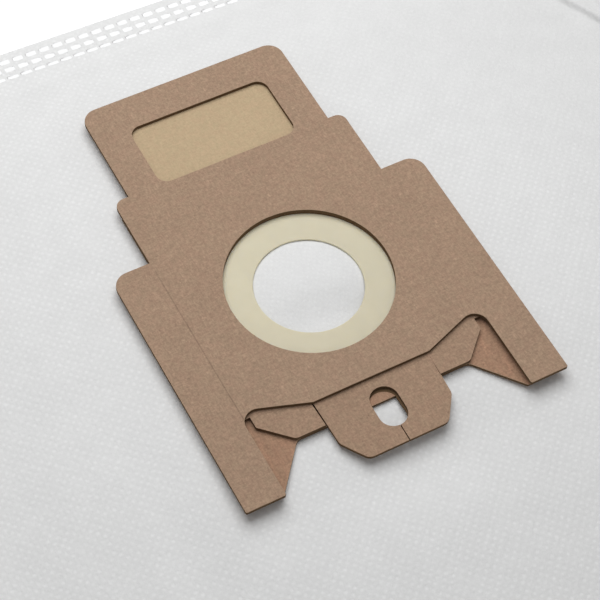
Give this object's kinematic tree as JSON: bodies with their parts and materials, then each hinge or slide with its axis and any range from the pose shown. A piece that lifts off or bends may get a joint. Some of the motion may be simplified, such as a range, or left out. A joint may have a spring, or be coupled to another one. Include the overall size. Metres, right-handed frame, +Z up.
{
  "type": "vacuum dust bag",
  "caption": "Flat fleece dust bag for a vacuum cleaner, with a laminated card collar, a rubber inlet seal and a slotted lock tab.",
  "frame": {"origin": "middle of the bag's outline, on the surface it lies on", "axes": "+Z up out of the collar's face, +Y towards the end that the collar's grip points to, +X across the bag"},
  "size_m": [0.32, 0.278, 0.0116],
  "materials": {
    "fleece": "matte point-bonded nonwoven",
    "collar_card": "matte kraft board",
    "lock_card": "matte kraft board",
    "base_card": "matte reddish kraft board",
    "pale_card": "matte pale kraft board",
    "seal_rubber": "smooth satin"
  },
  "bodies": {
    "root": {"back_panel": "fleece", "front_panel": "fleece", "base_board": "base_card", "lock_plate": "lock_card", "window_backing": "pale_card", "seal_ring": "seal_rubber", "collar_board": "collar_card"}
  },
  "joints": []
}
